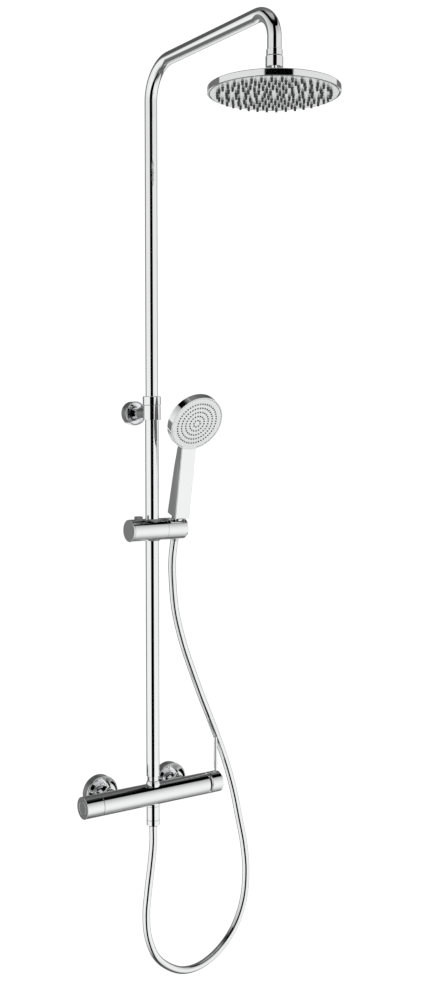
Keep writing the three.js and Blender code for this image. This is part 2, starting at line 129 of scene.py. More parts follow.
SLIDER_Z = 0.485
SLIDER_R = 0.02
SLIDER_LEFT = -0.046
SLIDER_RIGHT = 0.0237
SLIDER_BORE = 0.0145
HOLDER_START = 0.024
HOLDER_END = 0.0675
BUTTON = (-0.0286, AXIS_Y, SLIDER_Z + 0.0145)
BUTTON_SIZE = (0.0126, 0.011, 0.021)
POCKET = (BUTTON[0], AXIS_Y, SLIDER_Z + 0.0077)
POCKET_SIZE = (0.0134, 0.0118, 0.04)
SCREW_HOLE_R = 0.0034
HOSE_SLOT = (0.0156, 0.04, 0.09)

HANDSET_X = 0.051
HANDSET_LEAN = math.radians(13.3)
FACE_LEAN = math.radians(15.5)
FACE_R = 0.052
FACE_Y = -0.0238
FACE_Z = 0.201
FACE_DEEP = 0.019
HANDLE_HALF = 0.015  # half of its width
HANDLE_EDGE = 0.0013  # its edges' radius
DOT_RINGS = [(0.0065, 8, 0), (0.0147, 18, 0), (0.0229, 28, 0), (0.0311, 38, 0), (0.0392, 48, 0)]

HOSE_R = 0.007
HOSE_STEP = 0.003  # between two rings of its surface
HOSE_FLEX = 0.096  # length of each of the hose's first three pieces
HOSE_ROUTE = [
    (0.051, -0.0657, 0.4633), (0.051, -0.0622, 0.4487), (0.0516, -0.058, 0.431),
    (0.0544, -0.0525, 0.41), (0.0596, -0.046, 0.385), (0.0654, -0.04, 0.358),
    (0.072, -0.035, 0.331), (0.082, -0.03, 0.3), (0.0974, -0.027, 0.255), (0.1168, -0.026, 0.206),
    (0.1376, -0.026, 0.155), (0.1566, -0.026, 0.112), (0.1756, -0.027, 0.066),
    (0.194, -0.029, 0.016), (0.209, -0.032, -0.038), (0.219, -0.036, -0.092),
    (0.2272, -0.042, -0.148), (0.228, -0.048, -0.2), (0.217, -0.054, -0.255),
    (0.19, -0.059, -0.303), (0.1495, -0.063, -0.3364), (0.107, -0.066, -0.3518),
    (0.07, -0.068, -0.3508), (0.037, -0.07, -0.3358), (0.0064, -0.071, -0.3076),
    (-0.0112, -0.071, -0.266), (-0.0155, -0.071, -0.225), (-0.0112, -0.071, -0.18),
    (-0.0044, -0.071, -0.132), (0, -0.071, -0.092), (0, -0.071, -0.0583),
]

SIDES = 96  # round a turned piece
HOSE_SIDES = 32
SMALL_SIDES = 24  # round a nozzle
EASE = 0.0004  # how far an edge is broken
FINE_EASE = 0.0002  # and on the slider, where two pieces meet edge to edge
SEAM_ANGLE = math.radians(22)  # a profile's corner below this is part of a curve
ARC_STEP = math.radians(18)  # along a broken corner
CREASE = 25  # degrees, on a piece with cuts
TINY = 1e-6

ALONG_X = Matrix.Rotation(math.pi / 2, 4, "Y")
ALONG_Y = Matrix.Rotation(-math.pi / 2, 4, "X")


def at(x, y, z):
    return Matrix.Translation((x, y, z))


RISER = at(0, AXIS_Y, 0)
BAR = RISER @ ALONG_X
HEAD = at(0, AXIS_Y - ARM_REACH, 0)
SLIDER = at(0, AXIS_Y, SLIDER_Z)
SLIDER_ACROSS = SLIDER @ ALONG_X
HANDSET = at(HANDSET_X, AXIS_Y, SLIDER_Z) @ Matrix.Rotation(HANDSET_LEAN, 4, "X")
FACE = HANDSET @ at(0, FACE_Y, FACE_Z) @ Matrix.Rotation(math.pi / 2 + FACE_LEAN, 4, "X")
BRACKET = at(0, 0, BRACKET_Z) @ ALONG_Y


# Materials

class Nodes:
    """A material's node tree, with short ways to add to it."""

    def __init__(self, name):
        self.material = bpy.data.materials.new(name)
        self.material.use_nodes = True
        self.tree = self.material.node_tree
        self.shader = self.tree.nodes["Principled BSDF"]
        self.place = self.tree.nodes.new("ShaderNodeTexCoord").outputs["Object"]

    def set(self, **values):
        for name, value in values.items():
            self.shader.inputs[name.replace("_", " ")].default_value = value

    def link(self, output, target):
        self.tree.links.new(output, target)

    def noise(self, scale, detail=3.0, stretch=(1, 1, 1)):
        mapping = self.tree.nodes.new("ShaderNodeMapping")
        mapping.inputs["Scale"].default_value = stretch
        self.link(self.place, mapping.inputs["Vector"])
        texture = self.tree.nodes.new("ShaderNodeTexNoise")
        texture.inputs["Scale"].default_value = scale
        texture.inputs["Detail"].default_value = detail
        self.link(mapping.outputs["Vector"], texture.inputs["Vector"])
        return texture.outputs["Fac"]

    def spread(self, value, low, high, start=0.3, end=0.7):
        node = self.tree.nodes.new("ShaderNodeMapRange")
        limits = (("From Min", start), ("From Max", end), ("To Min", low), ("To Max", high))
        for name, number in limits:
            node.inputs[name].default_value = number
        self.link(value, node.inputs["Value"])
        return node.outputs["Result"]

    def roughness(self, value, low, high):
        self.link(self.spread(value, low, high), self.shader.inputs["Roughness"])

    def tint(self, value, dark, light):
        mix = self.tree.nodes.new("ShaderNodeMix")
        mix.data_type = "RGBA"
        mix.inputs["A"].default_value = (*dark, 1)
        mix.inputs["B"].default_value = (*light, 1)
        self.link(self.spread(value, 0, 1), mix.inputs["Factor"])
        self.link(mix.outputs["Result"], self.shader.inputs["Base Color"])

    def bump(self, value, strength, distance):
        bump = self.tree.nodes.new("ShaderNodeBump")
        bump.inputs["Strength"].default_value = strength
        bump.inputs["Distance"].default_value = distance
        self.link(value, bump.inputs["Height"])
        self.link(bump.outputs["Normal"], self.shader.inputs["Normal"])


def chrome(name, light, low, high):
    """Mirror plating: a faint uneven haze, and almost no waviness."""
    nodes = Nodes(name)
    nodes.set(Metallic=1.0)
    haze = nodes.noise(38, 5, (1, 1, 0.35))
    nodes.roughness(haze, low, high)
    dark = tuple(channel * 0.985 for channel in light)
    nodes.tint(nodes.noise(9, 2), dark, light)
    nodes.bump(nodes.noise(2600, 1), 0.01, 0.00002)
    return nodes.material


def satin(name, light, metallic):
    """Finely sprayed silver: an even grain, with slightly duller patches."""
    nodes = Nodes(name)
    nodes.set(Metallic=metallic)
    nodes.roughness(nodes.noise(420, 3), 0.2, 0.36)
    nodes.tint(nodes.noise(60, 4), tuple(channel * 0.97 for channel in light), light)
    nodes.bump(nodes.noise(2400, 2), 0.06, 0.00003)
    return nodes.material


def machined(name, light):
    """Bare turned metal, with a dull and uneven film."""
    nodes = Nodes(name)
    nodes.set(Metallic=1.0)
    nodes.roughness(nodes.noise(260, 3), 0.25, 0.42)
    nodes.tint(nodes.noise(90, 4), tuple(channel * 0.8 for channel in light), light)
    nodes.bump(nodes.noise(1800, 2), 0.2, 0.00004)
    return nodes.material


def moulded(name, light, low, high, grain):
    """Plastic, rubber or ceramic: a fine grain and slight mottling."""
    nodes = Nodes(name)
    nodes.set(Metallic=0.0)
    nodes.roughness(nodes.noise(180, 3), low, high)
    nodes.tint(nodes.noise(120, 4), tuple(channel * 0.86 for channel in light), light)
    nodes.bump(nodes.noise(grain, 2), 0.25, 0.00004)
    return nodes.material


MATERIALS = {
    "chrome": chrome("chrome", (0.93, 0.935, 0.94), 0.015, 0.05),
    "chromed_plastic": chrome("chromed_plastic", (0.93, 0.935, 0.94), 0.02, 0.06),
    "hose_cover": chrome("hose_cover", (0.92, 0.925, 0.93), 0.04, 0.09),
    "satin_metal": satin("satin_metal", (0.86, 0.865, 0.87), 0.75),
    "satin_plastic": satin("satin_plastic", (0.9, 0.905, 0.91), 0.55),
    "brass": machined("brass", (0.71, 0.55, 0.27)),
    "steel": machined("steel", (0.62, 0.63, 0.64)),
    "silicone": moulded("silicone", (0.06, 0.061, 0.063), 0.5, 0.65, 900),
    "rubber": moulded("rubber", (0.02, 0.021, 0.022), 0.6, 0.75, 900),
    "grey_plastic": moulded("grey_plastic", (0.19, 0.192, 0.197), 0.3, 0.45, 1400),
    "white_plastic": moulded("white_plastic", (0.78, 0.785, 0.78), 0.35, 0.5, 1400),
    "ceramic": moulded("ceramic", (0.62, 0.61, 0.58), 0.3, 0.45, 1400),
}
SLOTS = {part["node"]: part["material_slot"] for part in frame["record"]["subparts"]}


# Shapes

def dress(piece, *nodes):
    """The piece stands for these CAD nodes and takes the first one's finish."""
    slot = SLOTS[nodes[0]]
    piece.data.materials.clear()
    piece.data.materials.append(MATERIALS[slot])
    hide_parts(*nodes)
    return piece


def ride_with(piece, *nodes):
    """The same, for a piece that moves with the first node's body."""
    dress(piece, *nodes)
    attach(piece, frame["nodes"][nodes[0]]["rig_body"])
    return piece


def place_mesh(name, points, faces, normals=None):
    mesh = bpy.data.meshes.new(name)
    mesh.from_pydata(points, [], faces)
    mesh.shade_smooth()
    if normals:
        mesh.normals_split_custom_set_from_vertices(normals)
    piece = bpy.data.objects.new(name, mesh)
    bpy.context.scene.collection.objects.link(piece)
    return piece


def outward(start, end):
    """The normal on the right of a profile's segment, which is its outside."""
    along = (end - start).normalized()
    return Vector((along.y, -along.x))


def corner(before, point, after, ease):
    """Points and normals that turn a profile's corner, on an arc unless the corner is slight."""
    first, second = outward(before, point), outward(point, after)
    turn = first.angle(second)
    if turn < SEAM_ANGLE:
        return [(point, (first + second).normalized())]
    back, ahead = (before - point), (after - point)
    reach = min(ease * math.tan(turn / 2), 0.45 * back.length, 0.45 * ahead.length)
    radius = reach / math.tan(turn / 2)
    side = -1 if first.cross(second) > 0 else 1
    centre = point + back.normalized() * reach + side * radius * first
    steps = max(2, round(turn / ARC_STEP))
    arc = []
    for i in range(steps + 1):
        normal = first.slerp(second, i / steps) if turn < math.pi - 0.01 else first
        arc.append((centre - side * radius * normal, normal))
    return arc


def eased(profile, ease):
    """A (radius, height) profile with broken corners, as (point, normal) pairs; does it loop?"""
    points = [Vector(point) for point in profile]
    area = sum(a.cross(b) for a, b in zip(points, points[1:] + points[:1]))
    if area < 0:
        points.reverse()
    loop = points[0].x > TINY
    outline = []
    for i, point in enumerate(points):
        if not loop and i == 0:
            outline.append((point, outward(point, points[1])))
        elif not loop and i == len(points) - 1:
            outline.append((point, outward(points[-2], point)))
        else:
            outline += corner(points[i - 1], point, points[(i + 1) % len(points)], ease)
    return outline, loop


def turned_shell(profile, ease, sides):
    """A surface of revolution about Z: its points, faces and normals."""
    outline, loop = eased(profile, ease)
    points, normals, faces, rings = [], [], [], []
    for point, normal in outline:
        count = sides if point.x > TINY else 1
        rings.append([len(points) + i for i in range(count)])
        for i in range(count):
            angle = 2 * math.pi * i / sides
            turn = (math.cos(angle), math.sin(angle))
            points.append((point.x * turn[0], point.x * turn[1], point.y))
            across = normal.x if count > 1 else 0
            normals.append(Vector((across * turn[0], across * turn[1], normal.y)).normalized())
    for low, high in zip(rings, rings[1:] + (rings[:1] if loop else [])):
        for i in range(sides):
            j = (i + 1) % sides
            face = [low[i % len(low)], low[j % len(low)], high[j % len(high)], high[i % len(high)]]
            faces.append([v for k, v in enumerate(face) if v != face[k - 1]])
    return points, faces, normals


def joined(name, shells):
    """One object from several (shell, place) pairs."""
    points, faces, normals = [], [], []
    for (shell_points, shell_faces, shell_normals), place in shells:
        base = len(points)
        points += [place @ Vector(point) for point in shell_points]
        normals += [place.to_3x3() @ normal for normal in shell_normals]
        faces += [[base + v for v in face] for face in shell_faces]
    return place_mesh(name, points, faces, normals)


def turned(name, profile, place, ease=EASE):
    return joined(name, [(turned_shell(profile, ease, SIDES), place)])


def rod(radius, start, end):
    return [(0, start), (radius, start), (radius, end), (0, end)]


def tube(inner, outer, start, end):
    return [(inner, start), (outer, start), (outer, end), (inner, end)]


def cad_profile(node, place):
    """The profile of a turned CAD node, read off the edges that lie in a plane with its axis."""
    on_axis, same_angle = 2 * TINY, 1e-3
    mesh = frame["nodes"][node].data
    inverse = place.inverted()
    spots, spins = [], []
    for vertex in mesh.vertices:
        x, y, z = inverse @ vertex.co
        spots.append((round(math.hypot(x, y), 6), round(z, 6)))
        spins.append(math.atan2(y, x))
    near = {}
    for edge in mesh.edges:
        a, b = edge.vertices
        apart = abs(math.remainder(spins[a] - spins[b], 2 * math.pi))
        meets_axis = min(spots[a][0], spots[b][0]) < on_axis
        if spots[a] != spots[b] and (meets_axis or apart < same_angle):
            near.setdefault(spots[a], set()).add(spots[b])
            near.setdefault(spots[b], set()).add(spots[a])
    start = min(near, key=lambda spot: (len(near[spot]), spot))
    chain = [start]
    while True:
        onward = [spot for spot in near[chain[-1]] if spot not in chain]
        if not onward:
            break
        chain.append(min(onward))
    return [(0 if r < on_axis else r, z) for r, z in chain]


def smooth_copy(node, place, ease):
    """A finely turned piece in place of a turned CAD node."""
    return ride_with(turned(node + "_smooth", cad_profile(node, place), place, ease), node)


def apply_modifiers(piece):
    evaluated = piece.evaluated_get(bpy.context.evaluated_depsgraph_get())
    mesh = bpy.data.meshes.new_from_object(evaluated)
    piece.modifiers.clear()
    piece.data = mesh


def crisp(piece, angle):
    """Smooth shading with creases, and flat faces kept flat."""
    piece.data.shade_smooth()
    piece.data.set_sharp_from_angle(angle=math.radians(angle))
    weighted = piece.modifiers.new("weighted", "WEIGHTED_NORMAL")
    weighted.keep_sharp = True
    apply_modifiers(piece)
    return piece


def carved(piece, *tools):
    """The piece with each tool cut out of it."""
    for tool in tools:
        cut = piece.modifiers.new("cut", "BOOLEAN")
        cut.operation = "DIFFERENCE"
        cut.solver = "EXACT"
        cut.object = tool
        bpy.context.view_layer.update()
        apply_modifiers(piece)
        bpy.data.objects.remove(tool)
    return crisp(piece, CREASE)


def block(name, size, place, ease=0.0, segments=3):
    bm = bmesh.new()
    bmesh.ops.create_cube(bm, size=1, matrix=place @ Matrix.Diagonal((*size, 1)))
    if ease:
        bmesh.ops.bevel(bm, geom=bm.edges[:], offset=ease, segments=segments, profile=0.5,
                        affect="EDGES")
    mesh = bpy.data.meshes.new(name)
    bm.to_mesh(mesh)
    bm.free()
    piece = bpy.data.objects.new(name, mesh)
    bpy.context.scene.collection.objects.link(piece)
    return piece


def hexagon_shell(across, start, end, chamfer, bore):
    """A nut's surface about Z: six flats, with both ends' corners turned to a cone."""
    flat = across * math.cos(math.pi / 6)
    rows = [(start, bore), (start, flat), (start + chamfer, across)]
    rows += [(end - chamfer, across), (end, flat), (end, bore)]
    points, faces = [], []
    for z, limit in rows:
        for i in range(SIDES):
            angle = 2 * math.pi * i / SIDES
            from_flat = (angle + math.pi / 6) % (math.pi / 3) - math.pi / 6
            radius = min(flat / math.cos(from_flat), limit)
            points.append((radius * math.cos(angle), radius * math.sin(angle), z))
    for row in range(len(rows)):
        after = (row + 1) % len(rows)
        for i in range(SIDES):
            j = (i + 1) % SIDES
            faces.append([row * SIDES + i, row * SIDES + j, after * SIDES + j, after * SIDES + i])
    return points, faces


def hexagon(name, across, start, end, place, bore, chamfer=0.0012):
    points, faces = hexagon_shell(across, start, end, chamfer, bore)
    piece = place_mesh(name, [place @ Vector(point) for point in points], faces)
    return crisp(piece, 20)


def swept(name, path, radius, sides):
    """A round tube along a path of close points, with closed ends."""
    points, normals, faces = [], [], []
    last = len(path) - 1
    side = Vector((1, 0, 0))
    for i, centre in enumerate(path):
        along = (path[min(i + 1, last)] - path[max(i - 1, 0)]).normalized()
        side = (side - along * side.dot(along)).normalized()
        over = along.cross(side)
        for k in range(sides):
            angle = 2 * math.pi * k / sides
            normal = side * math.cos(angle) + over * math.sin(angle)
            points.append(centre + normal * radius)
            normals.append(normal)
    for i in range(last):
        for k in range(sides):
            j = (k + 1) % sides
            low, high = i * sides, (i + 1) * sides
            faces.append([low + k, low + j, high + j, high + k])
    for ring, way in ((0, -1), (last, 1)):
        along = (path[min(ring + 1, last)] - path[max(ring - 1, 0)]).normalized() * way
        base = len(points)
        points += points[ring * sides:(ring + 1) * sides]
        normals += [along] * sides
        cap = list(range(base, base + sides))
        faces.append(cap if way > 0 else cap[::-1])
    return place_mesh(name, points, faces, normals)


def spline(stations, spacing):
    """Close points on a centripetal Catmull-Rom curve through the stations."""
    ends = [2 * stations[0] - stations[1], *stations, 2 * stations[-1] - stations[-2]]
    path = []
    for a, b, c, d in zip(ends, ends[1:], ends[2:], ends[3:]):
        steps = max(2, round((c - b).length / spacing))
        knots = [0.0]
        for start, end in ((a, b), (b, c), (c, d)):
            knots.append(knots[-1] + math.sqrt((end - start).length))
        for i in range(steps):
            t = knots[1] + (knots[2] - knots[1]) * i / steps
            level = [a, b, c, d]
            for width in (1, 2, 3):
                blended = []
                for k in range(4 - width):
                    low, high = (knots[k], knots[k + width]) if width < 3 else (knots[1], knots[2])
                    blended.append(level[k].lerp(level[k + 1], (t - low) / (high - low)))
                level = blended
            path.append(level[0])
    path.append(stations[-1])
    return path


# Pieces

def smooth_turned_pieces():
    """Every CAD node that is turned and uncut, made again with fine surfaces."""
    groups = [
        (BAR, ["diverter_cartridge", "diverter_spindle", "diverter_knob", "diverter_knob_cover",
               "mixing_cartridge", "mixing_stem"]),
        (RISER, ["riser_adapter", "outlet_nipple", "lower_tube", "telescope_bush",
                 "telescope_o_ring", "clamp_nut", "clamp_collet", "hose_foot_nut",
                 "hose_washer_lower"]),
        (BRACKET, ["bracket_base", "bracket_rosette", "bracket_screw", "wall_plug"]),
        (HEAD, ["arm_collar", "ball_seat_upper", "ball_seat_lower", "ball_nut", "head_shell"]),
        (SLIDER, ["slider_bush"]),
        (SLIDER_ACROSS, ["slider_end_cap", "holder_pivot_screw", "holder_friction_washer"]),
        (HANDSET, ["handset_nipple", "hose_cone_nut"]),
        (FACE, ["handset_nozzle_mat", "handset_face_plate"]),
        (at(PIN_X, AXIS_Y, 0), ["lever_pin"]),
        (at(GRUB_X, AXIS_Y, 0), ["lever_grub_screw"]),
        (at(0, BRACKET_GRUB_Y, BRACKET_Z), ["bracket_grub_screw"]),
    ]
    for side, name in ((-1, "left"), (1, "right")):
        kinds = ("inlet_union", "inlet_washer", "check_valve", "inlet_rosette")
        groups.append((at(side * INLET_X, 0, 0) @ ALONG_Y, [f"{kind}_{name}" for kind in kinds]))
    rounded = 0.004
    return {node: smooth_copy(node, place, rounded if "rosette" in node else EASE)
            for place, nodes in groups for node in nodes}


def mixer_body():
    left = KNOB_SEAM + GAP
    bar = [
        (BORE_R, left), (BAR_R, left), (BAR_R, BODY_END - 0.001), (BAR_R - 0.001, BODY_END),
        (BORE_R, BODY_END),
    ]
    boss = [
        (0.0083, 0.012), (0.013, 0.012), (0.013, 0.019), (0.0124, 0.0215), (0.0106, 0.0256),
        (0.0083, 0.0256),
    ]
    inlet = [
        (0.0073, 0.015), (0.011, 0.015), (0.011, 0.0311), (0.0132, 0.0317), (0.0132, 0.034),
        (0.0073, 0.034),
    ]
    outlet = tube(0.0093, 0.012, -0.021, -0.012)
    shells = [(turned_shell(bar, EASE, SIDES), BAR), (turned_shell(boss, 0.0008, SIDES), RISER)]
    shells.append((turned_shell(outlet, EASE, SIDES), RISER))
    for x in (-INLET_X, INLET_X):
        shells.append((turned_shell(inlet, EASE, SIDES), at(x, AXIS_Y, 0) @ ALONG_Y))
    ride_with(joined("mixer_bar", shells), "mixer_body")


def inlet_nuts():
    for side, name in ((-1, "left"), (1, "right")):
        place = at(side * INLET_X, 0, 0) @ ALONG_Y
        nut = f"inlet_nut_{name}"
        span = (INLET_NUT_FRONT, INLET_NUT_BACK)
        ride_with(hexagon(nut + "_smooth", INLET_NUT_R, *span, place, INLET_NUT_BORE), nut)


def lever_cap():
    cap = turned("lever_cap_smooth", [
        (0, 0.134), (0.016, 0.134), (0.016, CAP_START), (0.0186, CAP_START),
        (BAR_R, CAP_START + 0.0014), (BAR_R, BAR_END - 0.0025), (0.0175, BAR_END), (0, BAR_END),
    ], BAR, 0.0006)
    pin_hole = turned("hole", rod(PIN_HOLE_R, 0.008, 0.03), at(PIN_X, AXIS_Y, 0))
    grub_hole = turned("hole", rod(GRUB_HOLE_R, -0.03, -0.01), at(GRUB_X, AXIS_Y, 0))
    ride_with(carved(cap, pin_hole, grub_hole), "lever_cap")


def bend(centre, radius, start, end, steps):
    """Points on an arc in the plane X = 0, its angles measured from -Y towards +Z."""
    points = []
    for i in range(steps + 1):
        angle = start + (end - start) * i / steps
        points.append(centre + radius * Vector((0, -math.cos(angle), math.sin(angle))))
    return points


def upper_tube():
    first_turn = math.pi / 2 - ARM_RISE
    second_turn = math.pi / 2 + ARM_RISE
    start_z = ARM_Z - ARM_BEND * math.tan(first_turn / 2)
    end_z = ARM_Z + ARM_REACH * math.tan(ARM_RISE) - ELBOW_BEND * math.tan(second_turn / 2)
    steps = 48
    path = [Vector((0, AXIS_Y, UPPER_FOOT))]
    centre = Vector((0, AXIS_Y - ARM_BEND, start_z))
    path += bend(centre, ARM_BEND, math.pi, math.pi - first_turn, steps)
    elbow = Vector((0, AXIS_Y - ARM_REACH + ELBOW_BEND, end_z))
    path += bend(elbow, ELBOW_BEND, second_turn, 0, steps)
    path.append(Vector((0, AXIS_Y - ARM_REACH, DROP_FOOT)))
    ride_with(swept("upper_tube_smooth", path, UPPER_R, SIDES), "upper_tube")


def bracket_sleeve():
    sleeve = [
        (SLEEVE_BORE, SLEEVE_FOOT), (SLEEVE_R, SLEEVE_FOOT), (SLEEVE_R, SLEEVE_TOP),
        (COLLET_R, SLEEVE_TOP), (COLLET_R, COLLET_FOOT), (SLEEVE_BORE, COLLET_FOOT),
    ]
    stub = [
        (0, STUB_START), (STUB_R, STUB_START), (STUB_R, STUB_END), (STUB_BORE, STUB_END),
        (STUB_BORE, STUB_BORE_START), (0, STUB_BORE_START),
    ]
    shells = [(turned_shell(sleeve, EASE, SIDES), RISER)]
    shells.append((turned_shell(stub, EASE, SIDES), at(0, AXIS_Y, BRACKET_Z) @ ALONG_Y))
    ride_with(joined("bracket_sleeve_smooth", shells), "bracket_sleeve")


def ball_joint():
    """What the overhead shower hangs on: a ball on a stem, under a round shoulder and a spigot."""
    steps, at_stem = 40, 34  # over half a turn, and where the stem starts
    ball = [(BALL_R * math.sin(a), BALL_Z - BALL_R * math.cos(a))
            for a in (math.pi * i / steps for i in range(at_stem))]
    into = SHOULDER_FOOT + 0.001
    stud = [(0, BALL_Z - BALL_R), *ball[1:], (STEM_R, STEM_FOOT), (STEM_R, into), (0, into)]
    edge = 0.0006
    shoulder = [
        (0, SHOULDER_FOOT), (SHOULDER_R - edge, SHOULDER_FOOT), (SHOULDER_R, SHOULDER_FOOT + edge),
        (SHOULDER_R, SHOULDER_TOP - edge), (SHOULDER_R - edge, SHOULDER_TOP), (0, SHOULDER_TOP),
    ]
    spigot = tube(WATERWAY_R, SPIGOT_R, SHOULDER_TOP - 0.0004, SPIGOT_TOP)
    shells = [(turned_shell(profile, EASE, SIDES), HEAD) for profile in (stud, shoulder, spigot)]
    ride_with(joined("ball_stud_smooth", shells), "ball_stud")


def ring_places(rings):
    places = []
    for radius, count, turn in rings:
        for i in range(count):
            angle = 2 * math.pi * (i + turn) / count
            places.append((radius * math.cos(angle), radius * math.sin(angle)))
    return places


def overhead_face():
    disc = rod(FACE_PLATE_R, HEAD_FACE + 0.0002, FACE_PLATE_BACK)
    plate = turned("head_face_smooth", disc, HEAD)
    ride_with(plate, "head_face_plate")
    tip, foot = HEAD_FACE - NOZZLE_LONG, HEAD_FACE + 0.0003
    nozzle = [
        (0, tip + 0.0015), (0.0006, tip + 0.0013), (0.0007, tip), (0.0018, tip),
        (0.0021, foot - 0.0008), (0.0026, foot - 0.0003), (0.0026, foot), (0, foot),
    ]
    shell = turned_shell(nozzle, 0.0005, SMALL_SIDES)
    shells = [(shell, HEAD @ at(x, y, 0)) for x, y in ring_places(NOZZLE_RINGS)]
    ride_with(joined("head_nozzles", shells), "head_nozzle_mat")


def slider():
    recess = (0.0155, SLIDER_RIGHT - 0.0007)
    barrel = turned("slider_barrel", [
        (0, SLIDER_LEFT), (SLIDER_R, SLIDER_LEFT), (SLIDER_R, SLIDER_RIGHT),
        (recess[0], SLIDER_RIGHT), recess, (0, recess[1]),
    ], SLIDER_ACROSS, FINE_EASE)
    bore = turned("hole", rod(SLIDER_BORE, -0.03, 0.03), SLIDER)
    pocket = block("hole", POCKET_SIZE, at(*POCKET), 0.001)
    ride_with(carved(barrel, bore, pocket), "slider_body")
    button = block("button_smooth", BUTTON_SIZE, at(*BUTTON), 0.0013, 4)
    ride_with(crisp(button, 40), "release_button")


def hose_slot():
    """The cut behind the holder's seat that the hose slips in through."""
    return block("hole", HOSE_SLOT, HANDSET @ at(0, HOSE_SLOT[1] / 2, 0))


def holder():
    head = turned("holder_smooth", [
        (0, HOLDER_START), (SLIDER_R, HOLDER_START), (SLIDER_R, HOLDER_END - 0.004),
        (0.0187, HOLDER_END - 0.0012), (0.0157, HOLDER_END), (0, HOLDER_END),
    ], SLIDER_ACROSS, FINE_EASE)
    seat = turned("hole", [
        (0, -0.04), (0.0109, -0.04), (0.0109, -0.02), (0.0132, 0.016), (0.0144, 0.022),
        (0.0144, 0.04), (0, 0.04),
    ], HANDSET)
    screw_hole = turned("hole", rod(SCREW_HOLE_R, HOLDER_START - 0.005, 0.036), SLIDER_ACROSS)
    ride_with(carved(head, seat, hose_slot(), screw_hole), "holder_head")
    liner = turned("liner_smooth", [
        (0, -0.017), (0.0106, -0.017), (0.0128, 0.0165), (0, 0.0165),
    ], HANDSET)
    bore = turned("hole", [
        (0, -0.03), (0.0089, -0.03), (0.0092, -0.0175), (0.0113, 0.017), (0.0113, 0.03), (0, 0.03),
    ], HANDSET)
    ride_with(carved(liner, bore, hose_slot()), "holder_liner")


def handset_handle():
    """The handle: its side outline, drawn across its whole width and with its edges rounded."""
    outline = [(-0.0166, 0.0228), (-0.009, 0.15), (-0.016, 0.175), (-0.006, 0.172), (0.005, 0.159),
               (0.007, 0.15), (0.0098, 0.114), (0.012, 0.032), (0.012, 0.0268)]
    points = [HANDSET @ Vector((x, y, z)) for x in (-HANDLE_HALF, HANDLE_HALF) for y, z in outline]
    count = len(outline)
    faces = [list(range(count))[::-1], list(range(count, 2 * count))]
    faces += [[i, (i + 1) % count, count + (i + 1) % count, count + i] for i in range(count)]
    handle = place_mesh("handset_handle", points, faces)
    bevel = handle.modifiers.new("bevel", "BEVEL")
    bevel.width = HANDLE_EDGE
    bevel.segments = 5
    bevel.limit_method = "ANGLE"
    bevel.angle_limit = math.radians(20)
    apply_modifiers(handle)
    ride_with(crisp(handle, 50), "handset_body")


def handset():
    handset_handle()
    disc = [
        (0, -FACE_DEEP), (0.032, -FACE_DEEP), (0.0502, -0.0162), (FACE_R, -0.0146), (FACE_R, 0),
        (0.0498, 0), (0.0496, -0.001), (0.0496, -0.003), (0, -0.003),
    ]
    shells = [(turned_shell(disc, 0.0003, SIDES), FACE)]
    neck = [(0, 0.0206), (0.01, 0.0206), (0.01, 0.038), (0.004, 0.062), (0, 0.062)]
    shells.append((turned_shell(neck, 0.001, SIDES), HANDSET))
    ride_with(joined("handset_shell", shells), "handset_body")
    nozzle = [
        (0, -0.0006), (0.0015, -0.0006), (0.0014, -0.0001), (0.001, 0.0006), (0.0004, 0.0006),
        (0, 0.0003),
    ]
    shell = turned_shell(nozzle, 0.0002, SMALL_SIDES)
    shells = [(shell, FACE @ at(x, y, 0)) for x, y in ring_places(DOT_RINGS)]
    ride_with(joined("handset_nozzles", shells), "handset_nozzle_mat")


def hose():
    """The hose in four lengths, cut one after another from a single path between wall and hand
    shower.
    """
    path = spline([Vector(point) for point in HOSE_ROUTE], HOSE_STEP)
    lengths = [0.0]
    for a, b in zip(path, path[1:]):
        lengths.append(lengths[-1] + (b - a).length)
    spans = [
        ("hose_top", 0, HOSE_FLEX, "handset", "holder"),
        ("hose_neck", HOSE_FLEX, 2 * HOSE_FLEX, "holder", "slider"),
        ("hose_shoulder", 2 * HOSE_FLEX, 3 * HOSE_FLEX, "slider", "grip"),
        ("hose_loop", 3 * HOSE_FLEX, lengths[-1], "grip", "fixed_set"),
    ]
    overlap, slack = HOSE_STEP + 0.0001, 0.0001
    for name, start, end, upper, lower in spans:
        part = [point for point, length in zip(path, lengths)
                if start - overlap < length < end + slack]
        piece = dress(swept(name, part, HOSE_R, HOSE_SIDES), "hose")
        if name == "hose_loop":
            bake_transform(piece)
        else:
            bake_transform(piece)


# Studio

FRONT_LIGHT = [  # elevation in degrees, and how bright the walls in front of the column are there
    (-90, 0.12), (-66, 0.12), (-60, 0.34), (-52, 0.62), (-44, 0.8), (-30, 0.93), (-15, 0.95),
    (0, 0.91), (10, 0.84), (20, 0.75), (30, 0.63), (38, 0.52), (43, 0.45), (45, 0), (59, 0),
    (64, 0.05), (67, 0.3), (72, 0.42), (90, 0.45),
]
REAR_LIGHT = [  # the same for the room behind it
    (-90, 0.12), (-30, 0.15), (0, 0.21), (12, 0.19), (28, 0.08), (45, 0.12), (60, 0.14), (90, 0.3),
]
LOW_LIGHT = [(-46, 0), (-38, 0.6), (-28, 0.85), (-12, 0.85), (-4, 0)]  # a pale patch in the room
# Degrees round the column from the camera, to its right
ROOM_RIGHT = 131
ROOM_LEFT = -110.5
PATCH_EDGE = 152
PATCH_SOFTNESS = 4
SLOT_MIDDLE = 5
SLOT_HALF = 24.5
SLOT_TOP = 60  # its elevation
MATT_LIGHT = 0.82
PLAIN_LIGHT = 1.05


